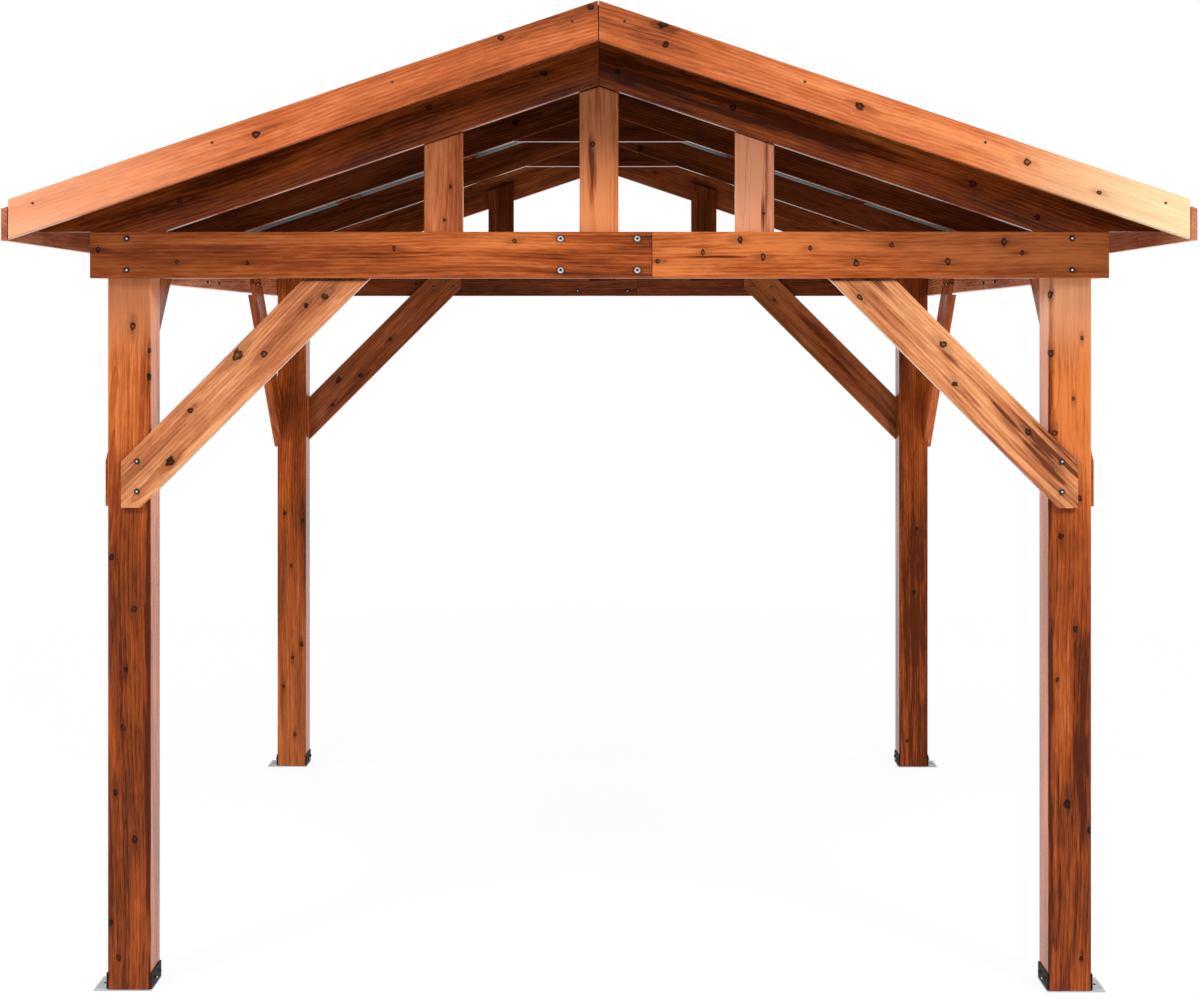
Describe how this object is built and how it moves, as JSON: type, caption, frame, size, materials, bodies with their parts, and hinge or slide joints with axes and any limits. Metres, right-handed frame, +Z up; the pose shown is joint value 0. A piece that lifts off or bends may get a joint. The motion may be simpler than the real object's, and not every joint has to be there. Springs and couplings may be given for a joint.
{
  "type": "garden gazebo",
  "caption": "Open timber gazebo: posts with knee braces carry spliced beams and a gable roof of trusses, purlins, gable boards and ribbed metal sheet.",
  "frame": {"origin": "on the ground, at the middle of the four posts", "axes": "+Z up, front gable facing -Y, ridge along Y, +X to the right seen from the front"},
  "size_m": [3.68, 4.268, 3.1623],
  "materials": {
    "post_timber": "satin",
    "board_timber": "satin",
    "roof_timber": "satin",
    "roof_steel": "satin",
    "shoe_steel": "satin"
  },
  "bodies": {
    "root": {"post_front_left": "post_timber", "post_front_right": "post_timber", "post_rear_left": "post_timber", "post_rear_right": "post_timber", "shoe_front_left": "shoe_steel", "shoe_front_right": "shoe_steel", "shoe_rear_left": "shoe_steel", "shoe_rear_right": "shoe_steel", "front_beam_left": "board_timber", "front_beam_right": "board_timber", "rear_beam_left": "board_timber", "rear_beam_right": "board_timber", "left_header_front": "board_timber", "left_header_rear": "board_timber", "right_header_front": "board_timber", "right_header_rear": "board_timber", "front_brace_left": "board_timber", "front_brace_right": "board_timber", "rear_brace_left": "board_timber", "rear_brace_right": "board_timber", "left_brace_front": "board_timber", "left_brace_rear": "board_timber", "right_brace_front": "board_timber", "right_brace_rear": "board_timber", "front_rafter_left": "board_timber", "front_rafter_right": "board_timber", "rear_rafter_left": "board_timber", "rear_rafter_right": "board_timber", "front_stud_left": "board_timber", "front_stud_middle": "board_timber", "front_stud_right": "board_timber", "rear_stud_left": "board_timber", "rear_stud_middle": "board_timber", "rear_stud_right": "board_timber", "truss_rafter_front_left": "roof_timber", "truss_rafter_front_right": "roof_timber", "collar_tie_front": "roof_timber", "truss_rafter_rear_left": "roof_timber", "truss_rafter_rear_right": "roof_timber", "collar_tie_rear": "roof_timber", "front_barge_left": "board_timber", "front_barge_right": "board_timber", "rear_barge_left": "board_timber", "rear_barge_right": "board_timber", "left_fascia": "board_timber", "right_fascia": "board_timber", "left_purlins": "roof_timber", "right_purlins": "roof_timber", "left_roof_sheet": "roof_steel", "right_roof_sheet": "roof_steel", "ridge_cap": "roof_steel"}
  },
  "joints": []
}
